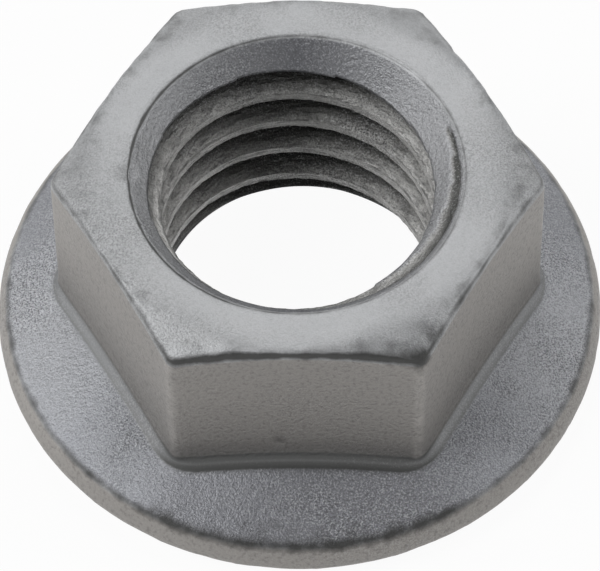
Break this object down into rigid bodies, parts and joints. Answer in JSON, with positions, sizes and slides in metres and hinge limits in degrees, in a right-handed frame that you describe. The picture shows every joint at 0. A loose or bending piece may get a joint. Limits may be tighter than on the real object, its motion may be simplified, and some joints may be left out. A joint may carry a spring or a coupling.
{
  "type": "serrated flange nut",
  "caption": "Hexagon nut with a conical flange, locking teeth under the flange and a right-hand metric thread, that grips the clamped surface without a washer",
  "frame": {"origin": "on the thread axis, in the plane of the tooth tips that the nut rests on", "axes": "+Z along the thread axis out of the open end of the hexagon; -Y square to one of the hexagon's flats"},
  "size_m": [0.023, 0.023, 0.01],
  "materials": {
    "zinc_flake_steel": "matte silver-grey zinc-flake coating on cold-forged steel, with fine sparkle and rubbed dark edges"
  },
  "bodies": {
    "root": {"flange_nut": "zinc_flake_steel"}
  },
  "joints": []
}
